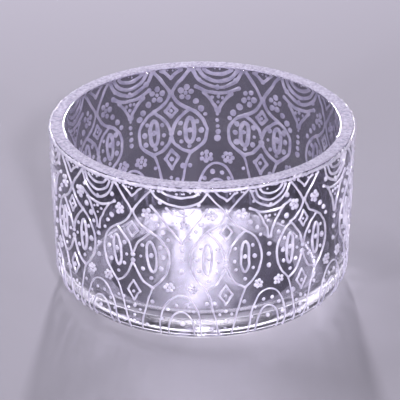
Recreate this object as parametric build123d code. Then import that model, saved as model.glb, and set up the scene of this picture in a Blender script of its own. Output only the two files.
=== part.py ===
from build123d import *
from math import cos, hypot, pi, sin
import os

# A round, straight-sided glass tealight holder. Its outside carries raised lines and dots of white paint, piped
# on by hand, and the flat top of its rim carries a granular white coat. Millimetres.
# +Z is up along the cup's axis, and the origin is the middle of the underside. Angles are about +Z,
# counted from -Y, the front, towards +X.

# ---- the glass cup ----
height = 44.3                # underside to the top of the rim coat
rim_outer_radius = 38.0
foot_outer_radius = 37.2     # where the wall would reach the underside, if its corner were square
foot_corner_radius = 7.4
rim_inner_radius = 34.4
floor_inner_radius = 33.2    # where the inner wall would reach the floor, if its corner were square
floor_height = 5.2
floor_corner_radius = 5.0
underside_recess_radius = 24.0
underside_recess_depth = 0.6
rim_edge_radius = 0.5
cavity_overshoot = 5.0       # how far the hollow's cutter passes the rim

# ---- the rim coat and its beads ----
rim_coat_thickness = 0.3
rim_coat_margin = 0.55       # bare glass left beside each rounded edge of the rim
rim_row_height = 42.95       # middle of the row of beads piped round the rim's outer edge
rim_row_width = 0.8
rim_row_relief = 0.65        # the widest thing on the cup

# ---- the raised paint ----
line_width = 0.75
thin_line_width = 0.55
line_relief = 0.42           # how far a line stands out of the glass
dot_relief_share = 0.8       # a dot's height over its radius
smallest_paint_area = 0.05   # a sliver of paint smaller than this is left out

# The repeats were spaced by eye, so no two are quite the same distance apart.
crossing_angles = [-56.7, -26.5, 8.8, 40.3, 78.0, 116.0, 153.9, 193.2, 230.4, 267.0]
swag_angles = [-41.6, -7.8, 24.5, 59.2, 97.0, 135.0, 173.5, 211.8, 248.7, 285.2]
repeat_reach = 24.0          # degrees of wall, each way, that one repeat can use

# ---- heights that the motifs share ----
line_top = 42.05             # where lines stop under the rim beads
crossing_height = 37.0
upper_node = (4.6, 32.3)     # arc distance from the crossing axis, and height
pinch_top = 25.2
pinch_bottom = 21.3
lower_node = (4.8, 16.3)
paint_bottom = 3.6

glass_height = height - rim_coat_thickness
wall_lean = (rim_outer_radius - foot_outer_radius) / glass_height


def outer_radius_at(z):
    """The glass's outer radius at height z, around the rounded foot as well as up the wall."""
    if z >= foot_corner_radius:
        return foot_outer_radius + wall_lean * z
    below = foot_corner_radius - z
    inward = foot_corner_radius - (foot_corner_radius**2 - below**2) ** 0.5
    return foot_outer_radius + wall_lean * foot_corner_radius - inward


# ---- the glass ----

def corner_at(sketch, x, z):
    """The sketch's vertex nearest to a point of the XZ plane."""
    return sorted(sketch.vertices(), key=lambda v: hypot(v.X - x, v.Z - z))[0]


def outer_profile(offset):
    """Half of the cup's outer section as one solid face, grown outwards by offset."""
    foot = (foot_outer_radius + offset, 0)
    rim = (rim_outer_radius + offset, glass_height)
    face = Plane.XZ * make_face(Polyline((0, 0), foot, rim, (0, glass_height), close=True))
    return fillet(corner_at(face, *foot), foot_corner_radius + offset)


def cavity_profile():
    """Half of the section of the cup's hollow, up past the rim."""
    lean = (rim_inner_radius - floor_inner_radius) / (glass_height - floor_height)
    top = glass_height + cavity_overshoot
    corner = (floor_inner_radius, floor_height)
    mouth = (floor_inner_radius + lean * (top - floor_height), top)
    face = Plane.XZ * make_face(Polyline((0, floor_height), corner, mouth, (0, top), close=True))
    return fillet(corner_at(face, *corner), floor_corner_radius)


def glass_cup():
    """The cup: its outer solid less the hollow and the shallow recess pressed into its underside."""
    outside = revolve(outer_profile(0), Axis.Z)
    hollow = revolve(cavity_profile(), Axis.Z)
    ball_radius = (underside_recess_radius**2 + underside_recess_depth**2) / (2 * underside_recess_depth)
    recess = Pos(0, 0, underside_recess_depth - ball_radius) * Sphere(ball_radius)
    cup = outside - hollow - recess
    rim_edges = cup.edges().filter_by(GeomType.CIRCLE).group_by(Axis.Z)[-1]
    return fillet(rim_edges, rim_edge_radius)


def rim_coat():
    """The flat ring of granular white on top of the rim."""
    ring = Circle(rim_outer_radius - rim_coat_margin) - Circle(rim_inner_radius + rim_coat_margin)
    coat = extrude(Pos(0, 0, glass_height) * ring, rim_coat_thickness)
    return fillet(coat.edges().group_by(Axis.Z)[-1], rim_coat_thickness * 0.6)


# ---- raised paint: a drawing on a flat plane before the wall, pushed back onto the wall ----

drawing_plane = Plane(origin=(0, -rim_outer_radius - 3, 0), x_dir=(1, 0, 0), z_dir=(0, -1, 0))
push_depth = 14.0


def flat(u, z):
    """A point at arc distance u and height z on the wall, as a point of the flat drawing plane."""
    return (rim_outer_radius * sin(u / rim_outer_radius), z)


def arc(start, middle, end, width=line_width):
    """A round-ended line of paint along the arc through three points."""
    return SlotArc(ThreePointArc(flat(*start), flat(*middle), flat(*end)), width)


def straight(start, end, width=line_width):
    """A round-ended straight line of paint."""
    return SlotArc(Line(flat(*start), flat(*end)), width)


def joined(lines):
    """Lines of paint that run into each other, as one drawing."""
    drawing = Sketch()
    for line in lines:
        drawing += line
    return drawing


def both_sides(line, *points, width=line_width):
    """The same line on the right and, mirrored, on the left of the repeat's axis."""
    return [line(*[(side * u, z) for u, z in points], width=width) for side in (1, -1)]


def diamond_ring(middle_height, half_width, half_height, width):
    """A diamond drawn as one closed line."""
    def corners(grow):
        return [
            flat(half_width + grow, middle_height),
            flat(0, middle_height + (half_height + grow)),
            flat(-half_width - grow, middle_height),
            flat(0, middle_height - (half_height + grow)),
        ]
    outside = make_face(Polyline(*corners(width / 2), close=True))
    inside = make_face(Polyline(*corners(-width / 2), close=True))
    return outside - inside


outside_solid = revolve(outer_profile(0), Axis.Z)
relief_shell = Rot(0, 0, -90 - repeat_reach) * revolve(
    outer_profile(line_relief) - outer_profile(0), Axis.Z, revolution_arc=2 * repeat_reach
)


def raised(drawing):
    """A drawing as solid paint of even height on the wall at the front."""
    pushed = extrude(drawing_plane * drawing, -push_depth)
    return [solid for solid in (pushed & relief_shell).solids() if solid.volume > smallest_paint_area * line_relief]


def dot(u, z, radius):
    """One domed dot: a ball sunk into the wall, less what lies inside the glass."""
    ball_radius = radius * (1 + dot_relief_share**2) / (2 * dot_relief_share)
    sunk = ball_radius - radius * dot_relief_share
    turn = u / rim_outer_radius
    reach = outer_radius_at(z) - sunk
    ball = Pos(reach * sin(turn), -reach * cos(turn), z) * Sphere(ball_radius)
    return (ball - outside_solid).solids()[0]


def dots(places):
    """A domed dot at each place, given as arc distance, height and radius."""
    return [dot(*place) for place in places]


def mirrored(places):
    """Places on both sides of the repeat's axis."""
    return [(side * u, z, radius) for u, z, radius in places for side in (1, -1)]


def rosette(u, z, petals, petal_radius, ring_radius):
    """A flower of dots that have run together: a ring of petals round a middle dot."""
    middle = Pos(*flat(u, z)) * Circle(ring_radius * 0.8)
    ring = [
        Pos(*flat(u + ring_radius * cos(turn), z + ring_radius * sin(turn))) * Circle(petal_radius)
        for turn in (2 * pi * petal / petals + pi / 2 for petal in range(petals))
    ]
    return joined([middle] + ring)


# ---- the motif on a crossing axis ----

crossing_dot_places = [(0, crossing_height, 0.6), (0, 24.1, 0.6), (0, 22.3, 0.6)]
diamond_dot_places = [(0, 31.9, 0.4), (0, 13.6, 0.5)]
eye_dot_places = mirrored([(4.6, 24.9, 0.55)])
medallion_dot_places = mirrored([
    (6.5, 27.8, 0.55), (7.2, 24.7, 0.65), (6.7, 21.4, 0.55),
    (2.5, 27.2, 0.5), (2.1, 22.9, 0.5), (4.4, 18.9, 0.5),
])
trail_dot_places = mirrored([(6.3, 34.3, 0.75), (7.6, 32.5, 0.65), (8.6, 30.3, 0.6)])
stem_dot_places = mirrored([(3.0, 5.4, 0.42)]) + [(0, 8.4, 0.5), (0, 5.6, 0.45)]


def under_dots(places):
    """The footprints of dots, for a line to stop at."""
    return joined(Pos(*flat(u, z)) * Circle(radius) for u, z, radius in places)


def lattice_drawing():
    """Two lines that come down from the rim, kiss, part, pinch together again and part once more."""
    lines = (
        both_sides(arc, (4.7, line_top), (2.1, 39.8), (0, crossing_height))
        + both_sides(arc, (0, crossing_height), (1.6, 34.3), upper_node)
        + both_sides(arc, upper_node, (2.0, 29.2), (0, pinch_top))
        + both_sides(arc, (0, pinch_bottom), (1.7, 18.4), lower_node)
    )
    return joined(lines) - under_dots(crossing_dot_places)


def chevron_drawing():
    """The small V between the two lines where they leave the rim."""
    return joined(both_sides(straight, (1.5, line_top), (0, 39.9), width=thin_line_width))


def upper_diamond_drawing():
    """The diamond in the cell between the kiss and the pinch."""
    return diamond_ring(middle_height=31.9, half_width=1.3, half_height=2.2, width=thin_line_width)


def lower_diamond_drawing():
    """The diamond in the cell under the pinch."""
    return diamond_ring(middle_height=13.6, half_width=1.6, half_height=2.6, width=thin_line_width)


def medallion_drawing():
    """The outer side of the almond-shaped medallion on each side of the pinch."""
    return joined(both_sides(arc, upper_node, (8.9, 24.4), lower_node)) - lattice_drawing()


def eye_drawing():
    """The narrow closed almond inside each medallion."""
    sides = []
    for bulge in (1.15, -1.15):
        sides += both_sides(arc, (4.6, 29.3), (4.6 + bulge, 24.9), (4.6, 20.5), width=line_width)
    return joined(sides)


def crossing_rosette_drawing():
    """A flower on each side of the kiss."""
    return joined(rosette(side * 3.7, 36.7, petals=5, petal_radius=0.5, ring_radius=1.05) for side in (1, -1))


def stem_drawing():
    """Thin stems from under the medallions down to the foot."""
    low_u, low_z = lower_node
    stems = both_sides(arc, (low_u, low_z - 0.2), (2.9, 10.2), (1.7, paint_bottom), width=thin_line_width)
    return joined(stems) - lattice_drawing() - medallion_drawing() - lower_diamond_drawing()


# ---- the motif on a swag axis, between two crossings ----

swag_dot_places = mirrored([(4.5, 39.5, 0.5)]) + [(0, 37.75, 0.5)]
funnel_dot_places = mirrored([(1.45, 35.0, 0.42), (0.6, 33.8, 0.4)]) + [(0, 35.0, 0.42), (0, 32.6, 0.38)]
pendant_dot_places = [(0, 28.0, 0.55), (0, 25.5, 0.65), (0, 22.9, 0.65), (0, 20.4, 0.7)]
arch_ring_height = 6.8
arch_ring_radius = 5.1
arch_ring_dots = 6
arch_dot_places = [(0, 7.3, 0.6)] + [
    (arch_ring_radius * cos(turn), arch_ring_height + arch_ring_radius * sin(turn), 0.42)
    for turn in (pi * (step + 0.5) / arch_ring_dots for step in range(arch_ring_dots))
]


def swag_drawing():
    """Nested arcs that hang from the rim like swags."""
    return joined(
        arc((-reach, line_top), (0, lowest), (reach, line_top), width=thin_line_width)
        for reach, lowest in ((2.3, 41.0), (3.3, 39.9), (4.3, 38.8))
    )


def bracket_drawing():
    """The shallow hanging arc over the funnel."""
    return arc((-5.0, 37.8), (0, 36.5), (5.0, 37.8))


def funnel_drawing():
    """Two concave lines that run together into a point."""
    return joined(both_sides(arc, (5.0, 37.6), (2.2, 34.2), (0, 29.9))) - bracket_drawing()


def lower_rosette_drawing():
    """A flower on each side of the axis, over the arch."""
    return joined(rosette(side * 2.7, 16.3, petals=6, petal_radius=0.42, ring_radius=1.0) for side in (1, -1))


def outer_arch_drawing():
    """The tall round arch that stands on the foot."""
    return arc((-5.1, paint_bottom), (0, 14.0), (5.1, paint_bottom), width=thin_line_width)


def inner_arch_drawing():
    """The low arch inside the tall one."""
    return arc((-3.1, paint_bottom), (0, 10.0), (3.1, paint_bottom), width=thin_line_width)


# ---- repeats round the wall ----

def around(solids, angles):
    """Copies of the solids at the front, turned to each angle about the cup's axis."""
    return [Rot(0, 0, angle) * solid for angle in angles for solid in solids]


def rim_bead_row():
    """The row of beads along the rim's outer edge, run together into one raised ring."""
    wall = outer_radius_at(rim_row_height)
    half = rim_row_width / 2
    section = Plane.XZ * make_face(
        ThreePointArc(
            (outer_radius_at(rim_row_height - half), rim_row_height - half),
            (wall + rim_row_relief, rim_row_height),
            (outer_radius_at(rim_row_height + half), rim_row_height + half),
        )
        + Line(
            (outer_radius_at(rim_row_height + half), rim_row_height + half),
            (outer_radius_at(rim_row_height - half), rim_row_height - half),
        )
    )
    return revolve(section, Axis.Z)


crossing_motif = {
    "lattice_lines": raised(lattice_drawing()),
    "rim_chevrons": raised(chevron_drawing()),
    "upper_diamonds": raised(upper_diamond_drawing()),
    "lower_diamonds": raised(lower_diamond_drawing()),
    "medallion_outlines": raised(medallion_drawing()),
    "medallion_eyes": raised(eye_drawing()),
    "base_stems": raised(stem_drawing()),
    "crossing_dots": dots(crossing_dot_places),
    "diamond_dots": dots(diamond_dot_places),
    "eye_dots": dots(eye_dot_places),
    "medallion_dots": dots(medallion_dot_places),
    "crossing_rosettes": raised(crossing_rosette_drawing()),
    "trail_dots": dots(trail_dot_places),
    "stem_dots": dots(stem_dot_places),
}
swag_motif = {
    "swag_arcs": raised(swag_drawing()),
    "funnel_brackets": raised(bracket_drawing()),
    "funnel_outlines": raised(funnel_drawing()),
    "outer_arches": raised(outer_arch_drawing()),
    "inner_arches": raised(inner_arch_drawing()),
    "swag_dots": dots(swag_dot_places),
    "funnel_dots": dots(funnel_dot_places),
    "pendant_dots": dots(pendant_dot_places),
    "lower_rosettes": raised(lower_rosette_drawing()),
    "arch_dots": dots(arch_dot_places),
}

nodes = {"glass_cup": [glass_cup()], "rim_coat": [rim_coat()], "rim_beads": [rim_bead_row()]}
for name, solids in crossing_motif.items():
    nodes[name] = around(solids, crossing_angles)
for name, solids in swag_motif.items():
    nodes[name] = around(solids, swag_angles)

os.makedirs("parts", exist_ok=True)
for name, solids in nodes.items():
    export_step(Compound(children=solids), f"parts/{name}.step")
    print(name, len(solids), "solids")
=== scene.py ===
import math

import bpy
import numpy as np
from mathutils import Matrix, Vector


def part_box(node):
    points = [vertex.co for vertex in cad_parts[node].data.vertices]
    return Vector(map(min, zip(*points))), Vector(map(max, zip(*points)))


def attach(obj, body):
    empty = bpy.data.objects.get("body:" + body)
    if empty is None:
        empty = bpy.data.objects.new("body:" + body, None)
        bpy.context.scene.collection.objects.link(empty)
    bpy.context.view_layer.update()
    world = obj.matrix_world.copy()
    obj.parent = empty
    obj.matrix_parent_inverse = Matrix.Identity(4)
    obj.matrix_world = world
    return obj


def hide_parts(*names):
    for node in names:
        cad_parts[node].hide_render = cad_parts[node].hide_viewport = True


# A glass tealight holder with hand-piped white relief. Shapes are in millimetres until a mesh is made, and
# materials, lamps and the camera are in metres. On the wall, a place is (u, z): u is the arc distance from a
# repeat's own axis, and z the height.

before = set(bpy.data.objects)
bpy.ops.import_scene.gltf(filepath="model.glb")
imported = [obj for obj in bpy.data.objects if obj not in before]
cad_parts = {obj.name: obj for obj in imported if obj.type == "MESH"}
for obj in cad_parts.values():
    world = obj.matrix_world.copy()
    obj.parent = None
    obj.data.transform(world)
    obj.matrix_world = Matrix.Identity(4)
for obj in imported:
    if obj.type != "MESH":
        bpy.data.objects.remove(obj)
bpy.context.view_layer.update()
MM = 0.001

# ---- sizes of the glass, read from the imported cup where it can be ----
CUP_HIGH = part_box("glass_cup")[1]
COAT_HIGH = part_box("rim_coat")[1]
RIM_RADIUS = CUP_HIGH.x / MM
GLASS_HEIGHT = CUP_HIGH.z / MM
COAT_TOP = COAT_HIGH.z / MM
FOOT_RADIUS = 37.2
FOOT_CORNER = 7.4
RIM_INNER_RADIUS = 34.4
FLOOR_RADIUS = 33.2          # where the inner wall would reach the floor if they met in a square corner
INNER_LEAN = 0.15            # how much further out the wall is at the top of the floor's rounded corner
FLOOR_HEIGHT = 5.2
FLOOR_CORNER = 5.0
RECESS_RADIUS = 24.0
RECESS_DEPTH = 0.6
RIM_EDGE = 0.3               # the rounding of the rim's two edges
WALL_LEAN = (RIM_RADIUS - FOOT_RADIUS) / GLASS_HEIGHT

# ---- the paint ----
LINE_WIDTH = 0.64
THIN_WIDTH = 0.5
RELIEF_SHARE = 0.55          # a line's height over its width
MOST_RELIEF = 0.6            # no paint stands out further than this
SUNK = 0.05                  # how far the paint's underside reaches into the glass, so that no gap shows
LINE_STEP = 0.4              # distance between a line's cross-sections
LINE_TOP = 42.5              # where the lines stop, just under the rim's row
PATH_DRIFT = 0.07            # how far a line wanders from its path
WIDTH_DRIFT = 0.09           # how much its width wanders, as a share of it
WANDER_STEPS = 5             # cross-sections from one turn of the wandering to the next
END_REACH = 0.5              # how far from its ends a line is fatter
DOT_RELIEF_SHARE = 0.75      # a dot's height over its radius
DOT_DRIFT = 0.12             # how far a dot lands from its place
RADIUS_DRIFT = 0.1           # how much a dot's radius varies, as a share of it

# The repeats were drawn by eye, so no two are spaced or stretched alike. Each row is one repeat: its angle in
# degrees from the front, -Y, its stretch to the left and to the right, and how far its upper part, about
# UPPER_MIDDLE, and its lower part, about LOWER_MIDDLE, are lifted. A lift fades out over LIFT_REACH.
UPPER_MIDDLE = 33.5
LOWER_MIDDLE = 14.5
LIFT_REACH = 9.5
CROSSINGS = [
    (-56.7, 0.95, 0.97, -0.5, 0.3), (-26.3, 0.92, 1.06, -1.0, -0.3), (8.8, 0.96, 1.0, -0.1, 0.2),
    (40.3, 0.86, 0.95, -0.5, 0.3), (78.0, 1.0, 1.05, -0.6, 0.8), (116.0, 1.06, 1.0, -1.5, 1.2),
    (153.9, 1.08, 1.1, -2.3, 2.2), (193.2, 1.12, 1.08, -1.2, 2.4), (230.4, 1.04, 1.08, -2.0, 1.4),
    (267.0, 1.0, 1.02, -0.8, 0.6),
]
SWAGS = [
    (-41.6, 0.95, 0.95, -0.4, 0.0), (-7.4, 1.1, 0.9, -0.2, 0.0), (25.3, 0.92, 1.0, 0.2, 0.3),
    (59.2, 1.0, 1.0, 0.0, 0.0), (97.0, 1.0, 1.1, 0.0, 0.4), (135.0, 1.1, 1.0, -0.3, 0.4),
    (173.5, 1.05, 1.08, -0.3, 0.6), (211.8, 1.08, 1.02, -0.3, 0.6), (248.7, 1.0, 1.0, 0.0, 0.4),
    (285.2, 0.95, 1.05, -0.2, 0.0),
]
LEANING_REPEAT = CROSSINGS[1]     # the one whose medallion eyes lean
FRONT_ANGLE = 10             # a repeat is at the front when it is this near to it, in degrees
PLAIN_ANGLE = 30             # and this near to it, its upper diamond has no dot
BACK_COSINE = -0.3           # a repeat is at the back when the cosine of its angle is below this

rng = np.random.default_rng(7)


# ---- the cup's outside as a surface to paint on ----

def outer_radius(z):
    """The glass's outer radius at height z, round the foot's corner as well as up the wall."""
    below = np.clip(FOOT_CORNER - z, 0, FOOT_CORNER)
    inward = FOOT_CORNER - np.sqrt(FOOT_CORNER**2 - below**2)
    return FOOT_RADIUS + WALL_LEAN * np.maximum(z, FOOT_CORNER) - inward


def swell(z, middle):
    """1 at the middle, falling smoothly to 0 at LIFT_REACH from it."""
    return np.cos(np.pi / 2 * np.clip(np.abs(z - middle) / LIFT_REACH, 0, 1)) ** 2


def shifted(repeat, u, z):
    """A place in the motif, moved by its repeat's stretch and lift."""
    left, right, upper, lower = repeat[1:]
    lift = upper * swell(z, UPPER_MIDDLE) + lower * swell(z, LOWER_MIDDLE)
    return u * np.where(u > 0, right, left), z + lift


def on_wall(repeat, u, z, out):
    """Points of a repeat standing out of the wall by out, in metres, as an array of N by 3."""
    turn = math.radians(repeat[0]) + u / RIM_RADIUS
    dip = np.clip(FOOT_CORNER - z, 0, FOOT_CORNER) / FOOT_CORNER
    reach = outer_radius(z) + out * np.sqrt(1 - dip**2)
    return np.stack([reach * np.sin(turn), -reach * np.cos(turn), z - out * dip], -1) * MM


# ---- meshes gathered from many small closed shapes ----

class Gathered:
    """One mesh made of many small closed shapes."""

    def __init__(self):
        self.points = []
        self.faces = []
        self.count = 0

    def add(self, points, faces):
        self.points.append(points)
        self.faces += [[index + self.count for index in face] for face in faces]
        self.count += len(points)

    def make(self, name, material):
        mesh = bpy.data.meshes.new(name)
        mesh.from_pydata(np.concatenate(self.points).tolist(), [], self.faces)
        mesh.polygons.foreach_set("use_smooth", np.ones(len(mesh.polygons), bool))
        mesh.materials.append(material)
        mesh.update()
        piece = bpy.data.objects.new(name, mesh)
        bpy.context.scene.collection.objects.link(piece)
        return piece


def tube_faces(rings, sides):
    """Faces of a closed tube of rings, capped at both ends."""
    faces = [list(range(sides))[::-1], [(rings - 1) * sides + k for k in range(sides)]]
    for ring in range(rings - 1):
        for k in range(sides):
            after = (k + 1) % sides
            here, ahead = ring * sides, (ring + 1) * sides
            faces.append([here + k, here + after, ahead + after, ahead + k])
    return faces


# ---- lines of paint ----

def smooth_path(points):
    """An even path through the points, rounded by a Catmull-Rom spline."""
    points = np.array(points, float)
    padded = np.vstack([2 * points[0] - points[1], points, 2 * points[-1] - points[-2]])
    t = np.linspace(0, 1, 12, endpoint=False)[:, None]
    runs = []
    for a, b, c, d in zip(padded, padded[1:], padded[2:], padded[3:]):
        square = 2 * a - 5 * b + 4 * c - d
        cube = 3 * b - a - 3 * c + d
        runs.append(0.5 * (2 * b + (c - a) * t + square * t**2 + cube * t**3))
    path = np.vstack(runs + [padded[-2][None]])
    along = np.r_[0, np.cumsum(np.hypot(*np.diff(path, axis=0).T))]
    even = np.linspace(0, along[-1], max(4, round(along[-1] / LINE_STEP)))
    return np.stack([np.interp(even, along, path[:, 0]), np.interp(even, along, path[:, 1])], -1)


def at_front(repeat):
    """Whether a repeat faces the front, where the piping is plainer."""
    return abs(repeat[0]) < FRONT_ANGLE


def at_back(repeat):
    """Whether a repeat is on the far side, where swags are wide and strings of dots are long."""
    return math.cos(math.radians(repeat[0])) < BACK_COSINE


def boldness(repeat):
    """How heavily a repeat is piped: lightly at the front, and more and more heavily towards the back."""
    return 0.85 + 0.35 * (1 - math.cos(math.radians(repeat[0])))


def dot_boldness(repeat):
    """The same for dots, which vary less than lines do."""
    return boldness(repeat) ** 0.6


def wander(count, size):
    """A slow random drift about zero, one value for each of count steps."""
    knots = rng.normal(0, size, count // WANDER_STEPS + 3)
    return np.interp(np.linspace(0, len(knots) - 1, count), range(len(knots)), knots)


SECTION = np.linspace(0, math.pi, 7)      # the angles of points over a line's half-round cross-section
LINE_UNDERSIDE = 0.8         # how wide its sunken underside is, as a share of the line
CAP_STEPS = np.array([0.45, 0.8, 0.98])   # where a rounded end's cross-sections are, as shares of its reach


def add_line(gathered, repeat, points, width=LINE_WIDTH, end_blob=0.18):
    """A half-round line of paint along points, a little uneven, with rounded and slightly fatter ends."""
    u, z = smooth_path(points).T
    path = np.stack(shifted(repeat, u, z), -1)
    count = len(path)
    ahead = np.gradient(path, axis=0)
    ahead /= np.hypot(ahead[:, 0], ahead[:, 1])[:, None]
    side = np.stack([-ahead[:, 1], ahead[:, 0]], -1)
    path = path + side * wander(count, PATH_DRIFT)[:, None]
    half = width / 2 * boldness(repeat) * (1 + wander(count, WIDTH_DRIFT))
    from_end = np.minimum(np.arange(count), np.arange(count)[::-1]) * LINE_STEP
    half *= 1 + end_blob * np.exp(-(from_end / END_REACH) ** 2)
    rings = []
    for share in CAP_STEPS[::-1]:
        rings.append((path[0] - ahead[0] * half[0] * share, side[0], half[0] * math.sqrt(1 - share**2)))
    rings += [(path[i], side[i], half[i]) for i in range(count)]
    for share in CAP_STEPS:
        rings.append((path[-1] + ahead[-1] * half[-1] * share, side[-1], half[-1] * math.sqrt(1 - share**2)))
    centre, across, reach = (np.array(column) for column in zip(*rings))
    flat = np.r_[np.cos(SECTION), -LINE_UNDERSIDE, LINE_UNDERSIDE]
    lift = np.r_[np.sin(SECTION), 0, 0]
    places = centre[:, None] + across[:, None] * (reach[:, None] * flat)[..., None]
    out = np.minimum(2 * RELIEF_SHARE * reach, MOST_RELIEF)[:, None] * lift
    out[:, -2:] = -SUNK
    points_3d = on_wall(repeat, places[..., 0].ravel(), places[..., 1].ravel(), out.ravel())
    gathered.add(points_3d, tube_faces(len(rings), len(flat)))


def add_mirrored_line(gathered, repeat, points, **kind):
    """The same line on both sides of the axis, each drawn by its own unsteady hand."""
    for side in (1, -1):
        add_line(gathered, repeat, [(side * u, z) for u, z in points], **kind)


# ---- dots of paint ----

DOT_SIDES = 12
DOT_RISE = np.radians([0, 22, 45, 68, 84])        # the angles of rings up a dot's dome
DOT_UNDERSIDE = 0.9          # how wide its sunken underside is, as a share of the dot
HEART_SHARE = 0.8            # the radius of a rosette's middle dot over its petals'


def add_dot(gathered, repeat, u, z, radius, unsteady=DOT_DRIFT):
    """One domed dot, never quite round and never quite where it was meant to be."""
    u, z = np.array(shifted(repeat, u, z)) + rng.normal(0, unsteady, 2)
    radius *= dot_boldness(repeat) * (1 + rng.normal(0, RADIUS_DRIFT))
    turn = np.linspace(0, 2 * math.pi, DOT_SIDES, endpoint=False)
    lobes = 1 + 0.05 * np.cos(turn * 2 + rng.uniform(0, 6)) + 0.03 * np.cos(turn * 3 + rng.uniform(0, 6))
    reach = np.r_[DOT_UNDERSIDE, np.cos(DOT_RISE)] * radius
    rise = np.r_[-SUNK, np.sin(DOT_RISE) * min(radius * DOT_RELIEF_SHARE, MOST_RELIEF)]
    grid_u = u + reach[:, None] * lobes * np.cos(turn)
    grid_z = z + reach[:, None] * lobes * np.sin(turn)
    out = np.repeat(rise, DOT_SIDES)
    gathered.add(on_wall(repeat, grid_u.ravel(), grid_z.ravel(), out), tube_faces(len(reach), DOT_SIDES))


def add_mirrored_dots(gathered, repeat, places):
    """Dots on both sides of the axis, from rows of their place and radius."""
    for u, z, radius in places:
        for side in (1, -1):
            add_dot(gathered, repeat, side * u, z, radius)


def add_rosette(gathered, repeat, u, z, petals, petal_radius, ring_radius):
    """A flower of dots round a middle dot."""
    start = rng.uniform(0, 2 * math.pi)
    ring_radius *= dot_boldness(repeat)
    add_dot(gathered, repeat, u, z, petal_radius * HEART_SHARE, unsteady=0.04)
    for petal in range(petals):
        turn = start + 2 * math.pi * petal / petals
        place = (u + ring_radius * math.cos(turn), z + ring_radius * math.sin(turn))
        add_dot(gathered, repeat, *place, petal_radius, unsteady=0.06)


# ---- the motif on a crossing axis ----

NODE = (4.7, 32.2)           # where a medallion's outline leaves the lattice line
LOW_NODE = (4.9, 16.2)       # where it comes back to it
KISS = 37.0                  # the height at which a repeat's two lattice lines touch
UPPER_DIAMOND = 32.0         # the height of the upper diamond's middle
EYE_OUT, EYE_HEIGHT = 4.7, 24.8
EYE_HALF_WIDTH = 1.1
EYE_HALF_HEIGHT = 4.3
EYE_LEAN = 0.08


def lattice_lines(gathered, repeat):
    """Two lines from the rim that kiss, part, pinch together again and part once more."""
    from_rim = [(4.8, LINE_TOP), (2.6, 40.0), (0.4, KISS + 0.2), (1.0, 35.3), (2.4, 33.7), NODE]
    add_mirrored_line(gathered, repeat, from_rim)
    add_mirrored_line(gathered, repeat, [NODE, (3.0, 30.4), (1.3, 28.0), (0.3, 25.1)])
    add_mirrored_line(gathered, repeat, [(0.3, 21.8), (1.3, 19.6), (2.7, 17.6), LOW_NODE])


def rim_chevrons(gathered, repeat):
    add_mirrored_line(gathered, repeat, [(2.5, LINE_TOP), (1.2, 41.5), (0, 40.4)], width=0.6)


def add_diamond(gathered, repeat, middle, half_width, half_height):
    """A diamond of four short lines that meet at its corners."""
    top, bottom = middle + half_height, middle - half_height
    corners = [(half_width, middle), (0, top), (-half_width, middle), (0, bottom)]
    for start, end in zip(corners, corners[1:] + corners[:1]):
        centre = ((start[0] + end[0]) / 2, (start[1] + end[1]) / 2)
        add_line(gathered, repeat, [start, centre, end], width=0.6, end_blob=0.1)


def upper_diamonds(gathered, repeat):
    add_diamond(gathered, repeat, UPPER_DIAMOND, half_width=1.45, half_height=2.1)


def lower_diamonds(gathered, repeat):
    add_diamond(gathered, repeat, 14.6, half_width=1.7, half_height=2.7)


def medallion_outlines(gathered, repeat):
    outline = [NODE, (6.7, 30.6), (8.4, 27.6), (9.0, 24.6), (8.5, 21.2), (6.9, 18.4), LOW_NODE]
    add_mirrored_line(gathered, repeat, outline)


def medallion_eyes(gathered, repeat):
    """A long thin oval in each medallion, drawn just past its own start."""
    lean = EYE_LEAN if repeat == LEANING_REPEAT else 0.0
    for side in (1, -1):
        oval = []
        for turn in np.linspace(math.radians(80), math.radians(445), 15):
            rise = EYE_HALF_HEIGHT * math.sin(turn)
            oval.append((side * EYE_OUT + EYE_HALF_WIDTH * math.cos(turn) - lean * rise, EYE_HEIGHT + rise))
        add_line(gathered, repeat, oval, width=0.78, end_blob=0)


def base_stems(gathered, repeat):
    stem = [LOW_NODE, (3.9, 13.4), (2.9, 9.8), (2.2, 6.4), (1.7, 3.4)]
    add_mirrored_line(gathered, repeat, stem, width=THIN_WIDTH)


def crossing_dots(gathered, repeat):
    """Dots on the axis, where the lattice lines kiss and where they are pinched together."""
    for z, radius in ((KISS, 0.6), (24.3, 0.7), (22.7, 0.7)):
        add_dot(gathered, repeat, 0, z, radius, unsteady=0.05)


def diamond_dots(gathered, repeat):
    """A dot in every diamond, but for the upper ones of the two repeats nearest to the front."""
    if abs(repeat[0]) > PLAIN_ANGLE:
        add_dot(gathered, repeat, 0, UPPER_DIAMOND, 0.4)
    add_dot(gathered, repeat, 0, 14.2, 0.5)


def eye_dots(gathered, repeat):
    add_mirrored_dots(gathered, repeat, [(4.7, 24.9, 0.62)])


def medallion_dots(gathered, repeat):
    add_mirrored_dots(gathered, repeat, [
        (6.7, 27.9, 0.56), (7.35, 24.8, 0.66), (6.9, 21.6, 0.6),
        (2.4, 27.4, 0.52), (2.0, 24.0, 0.5), (2.5, 21.2, 0.54), (4.5, 18.7, 0.5),
    ])


def crossing_rosettes(gathered, repeat):
    for side in (1, -1):
        add_rosette(gathered, repeat, side * 3.7, 36.7, petals=5, petal_radius=0.62, ring_radius=1.05)


def trail_dots(gathered, repeat):
    add_mirrored_dots(gathered, repeat, [(6.2, 34.4, 0.74), (7.6, 32.6, 0.64), (8.7, 30.4, 0.56)])


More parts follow.
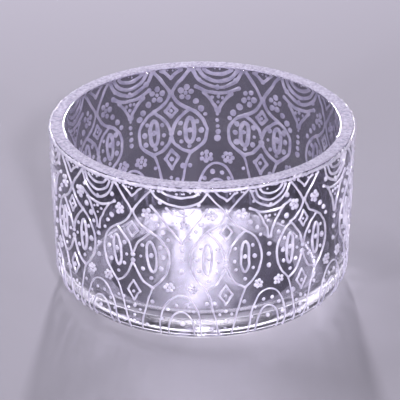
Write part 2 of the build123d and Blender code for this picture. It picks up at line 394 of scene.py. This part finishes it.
def stem_dots(gathered, repeat):
    """Dots scattered between the stems and the arches."""
    add_mirrored_dots(gathered, repeat, [(3.2, 5.2, 0.45), (4.7, 12.3, 0.5), (1.5, 9.3, 0.45)])
    add_dot(gathered, repeat, -3.0, 12.2, 0.7)
    add_dot(gathered, repeat, 0.2, 10.1, 0.55)
    add_dot(gathered, repeat, 0, 7.6, 0.5)
    add_dot(gathered, repeat, 0, 5.4, 0.5)


# ---- the motif on a swag axis ----

SIDE_SWAG_SHARE = 0.82       # how wide the side swags are, as a share of the back ones
ARCH_FOOT = 3.2


def swag_arcs(gathered, repeat):
    """Nested arcs that hang from the rim like swags: two at the front, and three elsewhere."""
    arcs = [(3.6, 41.0), (5.1, 39.1), (6.6, 37.4)]
    if at_front(repeat):
        arcs = [(4.4, 41.2), (6.9, 38.9)]
    elif not at_back(repeat):
        arcs = [(reach * SIDE_SWAG_SHARE, lowest) for reach, lowest in arcs]
    for reach, lowest in arcs:
        drop = LINE_TOP - lowest
        swag = [(-reach, LINE_TOP), (-reach * 0.7, LINE_TOP - drop * 0.62), (0, lowest)]
        swag += [(-u, z) for u, z in swag[-2::-1]]
        add_line(gathered, repeat, swag, width=0.68)


def funnel_brackets(gathered, repeat):
    """A shallow curve with turned-up ends over each funnel, or at the front in the mouth of its V."""
    reach, low = (3.4, 36.4) if at_front(repeat) else (5.6, 35.9)
    half = [(0, low), (reach / 2, low + 0.4), (reach, low + 1.8)]
    add_line(gathered, repeat, [(-u, z) for u, z in half[:0:-1]] + half, end_blob=0.35)


def funnel_outlines(gathered, repeat):
    """Two lines that run together into a point: a wide V at the front, and a slim funnel elsewhere."""
    top, tip = (36.0, 30.8) if at_back(repeat) else (36.6, 29.2)
    profile = [(3.6, 1), (2.5, 0.76), (1.5, 0.5), (0.7, 0.25), (0.3, 0)]
    if at_front(repeat):
        top = 38.3
        profile = [(6.9, 1), (5.2, 0.77), (3.4, 0.52), (1.7, 0.26), (0.2, 0)]
    path = [(u, tip + (top - tip) * share) for u, share in profile]
    add_mirrored_line(gathered, repeat, path, end_blob=0.4)


def funnel_dots(gathered, repeat):
    add_mirrored_dots(gathered, repeat, [(1.3, 34.7, 0.4)])
    add_dot(gathered, repeat, 0, 34.9, 0.42)
    add_dot(gathered, repeat, 0, 33.3, 0.4)


def pendant_dots(gathered, repeat):
    """A string of dots under the funnel: five that grow downwards at the back, and three elsewhere."""
    if at_back(repeat):
        heights = np.linspace(29.8, 22.6, 5)
        radii = np.linspace(0.38, 0.68, 5)
    else:
        heights = (27.3, 24.5, 21.3)
        radii = (0.6, 0.58, 0.66)
    for z, radius in zip(heights, radii):
        add_dot(gathered, repeat, 0, z, radius, unsteady=0.07)


def lower_rosettes(gathered, repeat):
    for side in (1, -1):
        add_rosette(gathered, repeat, side * 2.9, 16.6, petals=6, petal_radius=0.53, ring_radius=1.0)


def half_round(reach, top):
    """Points of a tall arch, a little squarer than a half oval."""
    rise = top - ARCH_FOOT
    return [(reach * math.cos(t), ARCH_FOOT + rise * math.sin(t) ** 0.85) for t in np.linspace(0, math.pi, 9)]


def outer_arches(gathered, repeat):
    add_line(gathered, repeat, half_round(5.3, 14.6), width=THIN_WIDTH)


def inner_arches(gathered, repeat):
    add_line(gathered, repeat, half_round(3.3, 10.1), width=THIN_WIDTH)


def arch_dots(gathered, repeat):
    """A row of dots between the two arches, and one large dot inside them."""
    for turn in np.linspace(0.25, math.pi - 0.25, 6):
        add_dot(gathered, repeat, 4.6 * math.cos(turn), 6.2 + 6.0 * math.sin(turn), 0.5)
    add_dot(gathered, repeat, 0, 7.2, 0.68)


def swag_dots(gathered, repeat):
    add_mirrored_dots(gathered, repeat, [(4.7, 39.5, 0.58)])
    add_dot(gathered, repeat, 0, 37.6, 0.62)


# Each function draws one piece, which has the function's own name and that of the CAD node it replaces.
CROSSING_MOTIF = [
    lattice_lines, rim_chevrons, upper_diamonds, lower_diamonds, medallion_outlines, medallion_eyes,
    base_stems, crossing_dots, diamond_dots, eye_dots, medallion_dots, crossing_rosettes, trail_dots,
    stem_dots,
]
SWAG_MOTIF = [
    swag_arcs, funnel_brackets, funnel_outlines, funnel_dots, pendant_dots, lower_rosettes,
    outer_arches, inner_arches, arch_dots, swag_dots,
]


# ---- materials ----

GLASS_IOR = 1.48
HAZY_GLASSES = [
    # name, brightness, roughness, transmission
    ("hollow_floor_glass", 0.8, 0.12, 0.93),
    ("hollow_corner_glass", 0.7, 0.18, 0.9),
    ("foot_glass", 0.55, 0.5, 0.6),
]
HOLLOW_FLOOR, HOLLOW_CORNER, FOOT = 1, 2, 3       # their material slots on the glass, after its own


def new_material(name, **settings):
    """A material whose Principled shader has the given socket values."""
    material = bpy.data.materials.new(name)
    material.use_nodes = True
    shader = material.node_tree.nodes["Principled BSDF"]
    for socket, value in settings.items():
        shader.inputs[socket.replace("_", " ")].default_value = value
    return material, shader


def add_noise(material, scale, detail=4.0, roughness=0.6):
    """A noise texture in the piece's own coordinates, in metres."""
    nodes, links = material.node_tree.nodes, material.node_tree.links
    place = nodes.new("ShaderNodeTexCoord")
    noise = nodes.new("ShaderNodeTexNoise")
    noise.inputs["Scale"].default_value = scale
    noise.inputs["Detail"].default_value = detail
    noise.inputs["Roughness"].default_value = roughness
    links.new(place.outputs["Object"], noise.inputs["Vector"])
    return noise


def add_bump(material, shader, noise, distance, strength=1.0):
    """Unevenness in the shading, distance metres deep."""
    nodes, links = material.node_tree.nodes, material.node_tree.links
    bump = nodes.new("ShaderNodeBump")
    bump.inputs["Distance"].default_value = distance
    bump.inputs["Strength"].default_value = strength
    links.new(noise.outputs["Fac"], bump.inputs["Height"])
    links.new(bump.outputs["Normal"], shader.inputs["Normal"])


def add_colour_range(material, shader, noise, dark, light):
    """A base colour that varies from dark to light with the noise."""
    nodes, links = material.node_tree.nodes, material.node_tree.links
    ramp = nodes.new("ShaderNodeValToRGB")
    ramp.color_ramp.elements[0].position = 0.35
    ramp.color_ramp.elements[1].position = 0.65
    ramp.color_ramp.elements[0].color = (*dark, 1)
    ramp.color_ramp.elements[1].color = (*light, 1)
    links.new(noise.outputs["Fac"], ramp.inputs["Fac"])
    links.new(ramp.outputs["Color"], shader.inputs["Base Color"])


def glass_material():
    """Clear glass tinted dark lilac, which paints in the shade of dark surroundings seen through it; very
    slightly uneven.
    """
    # The dark base colour is painted shade: it darkens the floor and the paint seen through the glass.
    material, shader = new_material(
        "pressed_glass", Base_Color=(0.25, 0.24, 0.29, 1), Roughness=0.03, IOR=GLASS_IOR,
        Transmission_Weight=1.0,
    )
    add_bump(material, shader, add_noise(material, 60, detail=2), distance=0.0002, strength=0.3)
    return material


def hazy_glass_material(name, brightness, roughness, transmission):
    """Where the thick base scatters light, the glass is a little milky."""
    colour = (brightness * 0.97, brightness * 0.96, brightness, 1)
    material, _ = new_material(
        name, Base_Color=colour, Roughness=roughness, IOR=GLASS_IOR, Transmission_Weight=transmission
    )
    return material


def paint_material():
    """Glossy, pearly paste that lets a little light through."""
    material, shader = new_material(
        "relief_paint", Roughness=0.3, IOR=1.5, Transmission_Weight=0.1, Coat_Weight=1.0, Coat_IOR=2.0,
        Coat_Roughness=0.1,
    )
    add_colour_range(material, shader, add_noise(material, 400), (0.40, 0.375, 0.49), (0.66, 0.63, 0.74))
    add_bump(material, shader, add_noise(material, 3000), distance=0.00004, strength=0.5)
    return material


def rim_material():
    """The rim's matt, finely grained coat."""
    material, shader = new_material("rim_coat_matt", Roughness=0.8, IOR=1.45)
    grain = add_noise(material, 1500, detail=6)
    add_colour_range(material, shader, grain, (0.22, 0.205, 0.28), (0.47, 0.44, 0.55))
    add_bump(material, shader, add_noise(material, 2600, detail=6, roughness=0.75), distance=0.00012)
    return material


# ---- the glass, lathed ----

HOLLOW_HAZE_TOP = 9.2        # how far up the inside corner the glass is milky
FOOT_HAZE_TOP = 1.5          # and how far up the outside corner


def corner(centre_r, centre_z, radius, start, end, steps=10):
    """Points round a corner's arc, from start to end degrees."""
    turn = np.radians(np.linspace(start, end, steps))
    return np.stack([centre_r + radius * np.cos(turn), centre_z + radius * np.sin(turn)], -1)


def cup_section():
    """The glass's half section, from the middle of the underside, up the outside and down the inside."""
    recess = np.linspace(0, RECESS_RADIUS, 8)
    underside = np.stack([recess, RECESS_DEPTH * (1 - (recess / RECESS_RADIUS) ** 2)], -1)
    foot_centre = outer_radius(np.array(FOOT_CORNER)) - FOOT_CORNER
    foot = corner(foot_centre, FOOT_CORNER, FOOT_CORNER, -90, 0, 16)
    wall_z = np.linspace(FOOT_CORNER, GLASS_HEIGHT - RIM_EDGE, 8)[1:]
    wall = np.stack([outer_radius(wall_z), wall_z], -1)
    rim_out = corner(RIM_RADIUS - RIM_EDGE, GLASS_HEIGHT - RIM_EDGE, RIM_EDGE, 10, 90, 6)
    rim_in = corner(RIM_INNER_RADIUS + RIM_EDGE, GLASS_HEIGHT - RIM_EDGE, RIM_EDGE, 90, 180, 6)
    inner_top = np.array([RIM_INNER_RADIUS, GLASS_HEIGHT - RIM_EDGE])
    inner_low = np.array([FLOOR_RADIUS + INNER_LEAN, FLOOR_HEIGHT + FLOOR_CORNER])
    share = np.linspace(0, 1, 8)[1:-1, None]
    inner_wall = inner_top * (1 - share) + inner_low * share
    floor = corner(inner_low[0] - FLOOR_CORNER, FLOOR_HEIGHT + FLOOR_CORNER, FLOOR_CORNER, 0, -90, 12)
    inner_floor = np.stack([np.linspace(floor[-1][0], 0, 8)[1:], np.full(7, FLOOR_HEIGHT)], -1)
    return np.vstack([underside, foot, wall, rim_out, rim_in, inner_wall, floor, inner_floor])


def lathe(section, sides):
    """A closed turned solid: the section's first and last points are on the axis."""
    turn = np.linspace(0, 2 * math.pi, sides, endpoint=False)
    rings = section[1:-1]
    grid = np.stack([
        rings[:, :1] * np.cos(turn), rings[:, :1] * np.sin(turn), np.repeat(rings[:, 1:], sides, axis=1)
    ], -1)
    points = np.vstack([[[0, 0, section[0][1]]], grid.reshape(-1, 3), [[0, 0, section[-1][1]]]]) * MM
    faces = []
    for k in range(sides):
        after = (k + 1) % sides
        faces.append([0, 1 + after, 1 + k])
        for ring in range(len(rings) - 1):
            low, high = 1 + ring * sides, 1 + (ring + 1) * sides
            faces.append([low + k, low + after, high + after, high + k])
        last = 1 + (len(rings) - 1) * sides
        faces.append([last + k, last + after, len(points) - 1])
    return points, faces


def glass_body(material):
    """The whole glass, clear but for its milky floor, inside corner and foot."""
    gathered = Gathered()
    gathered.add(*lathe(cup_section(), sides=240))
    body = gathered.make("glass_body", material)
    # Lamps shine through the glass onto the paint behind it and onto the floor.
    body.visible_shadow = False
    for hazy_glass in HAZY_GLASSES:
        body.data.materials.append(hazy_glass_material(*hazy_glass))
    for face in body.data.polygons:
        reach = math.hypot(face.center.x, face.center.y) / MM
        height = face.center.z / MM
        if FLOOR_HEIGHT / 2 < height < HOLLOW_HAZE_TOP and reach < RIM_INNER_RADIUS:
            face.material_index = HOLLOW_FLOOR if reach < FLOOR_RADIUS - FLOOR_CORNER else HOLLOW_CORNER
        elif height < FOOT_HAZE_TOP and reach > RECESS_RADIUS:
            face.material_index = FOOT
    return body


# ---- the rim's coat and its row of paint ----

COAT_OUTWARD = 0.1           # how far the middle of the coat is outside the middle of the rim
COAT_MARGIN = 0.2            # how far the coat would stop short of each edge of the rim, if it were central
COAT_GRAIN = 0.05            # how far its top is uneven, up and down
ROW_PLACE = (60.0, 1.0, 1.0, 0.0, 0.0)    # the row is drawn as one repeat that goes all the way round
ROW_HEIGHT = 43.4            # the middle of its strokes
ROW_DRIFT = 0.08
STROKE_LENGTHS = (0.2, 1.2)
STROKE_WIDTHS = (0.62, 0.98)
STROKE_GAPS = (0.1, 0.45)
BEAD_SHARE = 0.7             # the share of the strokes with a bead under them
BEAD_DROPS = (0.2, 1.2)      # how far under the row's middle a bead is
BEAD_RADII = (0.22, 0.4)


def rim_coat_ring(material):
    """The granular coat: a thin ring with sloping edges, whose top is finely uneven."""
    sides, steps = 720, 14
    turn = np.linspace(0, 2 * math.pi, sides, endpoint=False)
    span = np.linspace(0, math.pi, steps)
    middle = (RIM_RADIUS + RIM_INNER_RADIUS) / 2 + COAT_OUTWARD
    half = (RIM_RADIUS - RIM_INNER_RADIUS) / 2 - COAT_MARGIN
    reach = middle + half * np.cos(span)
    thickness = COAT_TOP - GLASS_HEIGHT - COAT_GRAIN
    rise = GLASS_HEIGHT + thickness * np.minimum(1, np.sin(span) * 2.5)
    grain = rng.uniform(-COAT_GRAIN, COAT_GRAIN, (sides, steps)) * np.minimum(1, np.sin(span) * 3)
    top = np.stack([
        reach * np.cos(turn)[:, None], reach * np.sin(turn)[:, None], np.tile(rise, (sides, 1)) + grain
    ], -1)
    under = np.stack([
        np.outer(np.cos(turn), reach[[-1, 0]]), np.outer(np.sin(turn), reach[[-1, 0]]),
        np.full((sides, 2), GLASS_HEIGHT - SUNK)
    ], -1)
    grid = np.concatenate([top, under], axis=1)
    loop = steps + 2
    faces = []
    for i in range(sides):
        after = (i + 1) % sides
        for k in range(loop):
            next_k = (k + 1) % loop
            faces.append([i * loop + k, i * loop + next_k, after * loop + next_k, after * loop + k])
    gathered = Gathered()
    gathered.add(grid.reshape(-1, 3) * MM, faces)
    return gathered.make("rim_coat_ring", material)


def rim_bead_row(material):
    """Short strokes and beads of paint run together along the rim's outer edge."""
    gathered = Gathered()
    place = 0.0
    while place < 2 * math.pi * RIM_RADIUS:
        length = rng.uniform(*STROKE_LENGTHS)
        heights = ROW_HEIGHT + rng.uniform(-ROW_DRIFT, ROW_DRIFT, 3)
        stroke = [(place, heights[0]), (place + length / 2, heights[1]), (place + length, heights[2])]
        add_line(gathered, ROW_PLACE, stroke, width=rng.uniform(*STROKE_WIDTHS))
        if rng.random() < BEAD_SHARE:
            drop = rng.uniform(*BEAD_DROPS)
            add_dot(gathered, ROW_PLACE, place, ROW_HEIGHT - drop, rng.uniform(*BEAD_RADII))
        place += length + rng.uniform(*STROKE_GAPS)
    return gathered.make("rim_bead_row", material)


# ---- the whole object ----

def place_piece(piece, node):
    """Puts a piece on the object, in place of the CAD node that it stands for."""
    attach(piece, "root")
    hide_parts(node)


def make_object():
    """The glass, its rim's coat and row of paint, and one piece for each part of the two motifs."""
    paint = paint_material()
    rim = rim_material()
    place_piece(glass_body(glass_material()), "glass_cup")
    place_piece(rim_coat_ring(rim), "rim_coat")
    place_piece(rim_bead_row(paint), "rim_beads")
    for motif, repeats in ((CROSSING_MOTIF, CROSSINGS), (SWAG_MOTIF, SWAGS)):
        for draw in motif:
            gathered = Gathered()
            for repeat in repeats:
                draw(gathered, repeat)
            node = draw.__name__
            place_piece(gathered.make(node + "_paint", paint), node)


# ---- floor, lights and camera ----

FLOOR_SIZE = 4
FLOOR_GAP = 0.0002           # keeps the floor clear of the glass's foot
LAMP_AIM = Vector((0, 0, 0.02))
LAMP_COLOUR = (0.95, 0.92, 1)
WORLD_COLOUR = (0.55, 0.53, 0.62, 1)
WORLD_STRENGTH = 0.06
LAMPS = [
    # name, place, width, height, power in watts
    ("key", (-0.52, -0.68, 0.14), 0.08, 0.08, 5.2),
    ("fill", (0.62, -0.60, 0.13), 0.07, 0.07, 4.2),
    ("front", (0.10, -0.70, 0.42), 0.06, 0.06, 5.0),
    ("back_strip", (-0.005, 0.62, 0.335), 0.04, 0.12, 5.6),
    ("top", (-0.38, 0.25, 0.62), 0.35, 0.35, 3.6),
]
CAMERA_DISTANCE = 15 * RIM_RADIUS * MM
CAMERA_ELEVATION = math.radians(26.54)
CAMERA_LENS = 201.2          # in millimetres, as the sensor's width is
SENSOR_WIDTH = 36
AIM_RIGHT = -0.00055         # how far the camera aims to the right of the object's middle
AIM_UP = -0.00018            # and how far above it


def make_floor():
    bpy.ops.mesh.primitive_plane_add(size=FLOOR_SIZE, location=(0, 0, -FLOOR_GAP))
    floor = bpy.context.object
    floor.name = "floor"
    material, _ = new_material(
        "floor_pale", Base_Color=(0.26, 0.25, 0.28, 1), Roughness=0.9, Specular_IOR_Level=0.1
    )
    floor.data.materials.append(material)


def area_light(name, place, width, height, power):
    """A lamp that faces the cup."""
    light = bpy.data.lights.new(name, "AREA")
    light.shape = "RECTANGLE"
    light.size = width
    light.size_y = height
    light.energy = power
    light.color = LAMP_COLOUR
    lamp = bpy.data.objects.new(name, light)
    lamp.location = place
    lamp.rotation_euler = (LAMP_AIM - Vector(place)).to_track_quat("-Z", "Y").to_euler()
    bpy.context.scene.collection.objects.link(lamp)


def make_lights():
    """A dim sky, lamps that light the paint, and a strip behind that glints off the cup's inner floor."""
    world = bpy.data.worlds.new("studio")
    world.use_nodes = True
    background = world.node_tree.nodes["Background"]
    background.inputs["Color"].default_value = WORLD_COLOUR
    background.inputs["Strength"].default_value = WORLD_STRENGTH
    bpy.context.scene.world = world
    bpy.context.scene.view_settings.view_transform = "Standard"
    for lamp in LAMPS:
        area_light(*lamp)


def make_camera():
    middle = Vector((0, 0, COAT_TOP * MM / 2))
    back = Vector((0, -math.cos(CAMERA_ELEVATION), math.sin(CAMERA_ELEVATION)))
    up = Vector((0, math.sin(CAMERA_ELEVATION), math.cos(CAMERA_ELEVATION)))
    place = middle + back * CAMERA_DISTANCE
    aim = middle + Vector((1, 0, 0)) * AIM_RIGHT + up * AIM_UP
    data = bpy.data.cameras.new("camera")
    data.sensor_width = SENSOR_WIDTH
    data.lens = CAMERA_LENS
    camera = bpy.data.objects.new("camera", data)
    camera.location = place
    camera.rotation_euler = (aim - place).to_track_quat("-Z", "Y").to_euler()
    bpy.context.scene.collection.objects.link(camera)
    bpy.context.scene.camera = camera


make_object()
make_floor()
make_lights()
make_camera()
